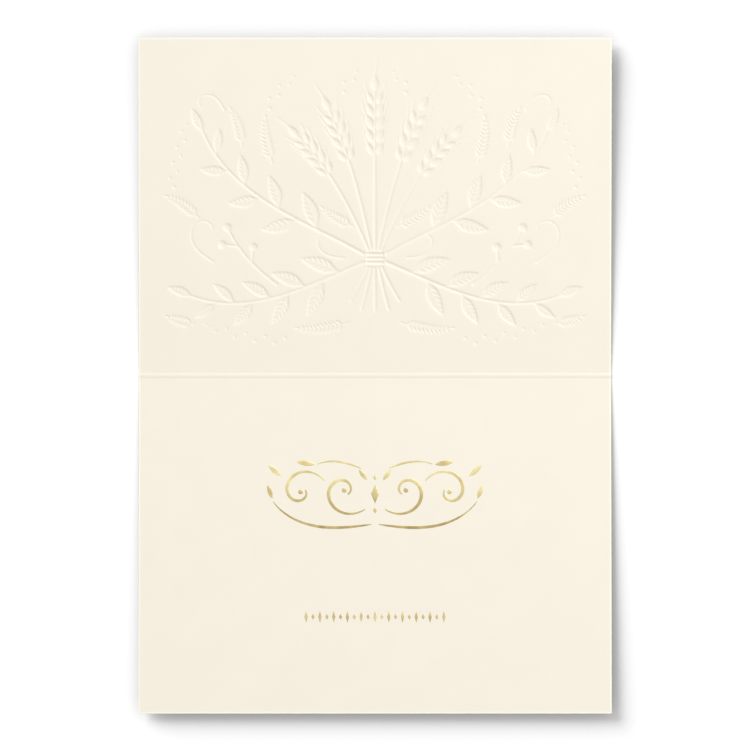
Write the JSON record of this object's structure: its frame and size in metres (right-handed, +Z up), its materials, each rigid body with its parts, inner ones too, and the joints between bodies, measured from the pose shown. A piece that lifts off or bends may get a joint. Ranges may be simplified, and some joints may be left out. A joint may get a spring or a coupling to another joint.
{
  "type": "greeting card",
  "caption": "Folded greeting card lying open with its inside up, a sheaf and leafy branches embossed in the cover panel and gold foil scrollwork on the back panel.",
  "frame": {"origin": "middle of the crease, at floor level under the open card", "axes": "+X along the crease, to the right when the cover panel is at the top; +Y across the crease towards the cover panel's free edge; +Z up, out of the inside faces"},
  "size_m": [0.1778, 0.2538, 0.0048],
  "materials": {
    "ivory_card_stock": "uncoated, smooth and matt",
    "gold_foil": "hot-stamped metallic foil, satin"
  },
  "bodies": {
    "root": {"card": "ivory_card_stock", "foil_scroll": "gold_foil", "foil_rule": "gold_foil"}
  },
  "joints": []
}
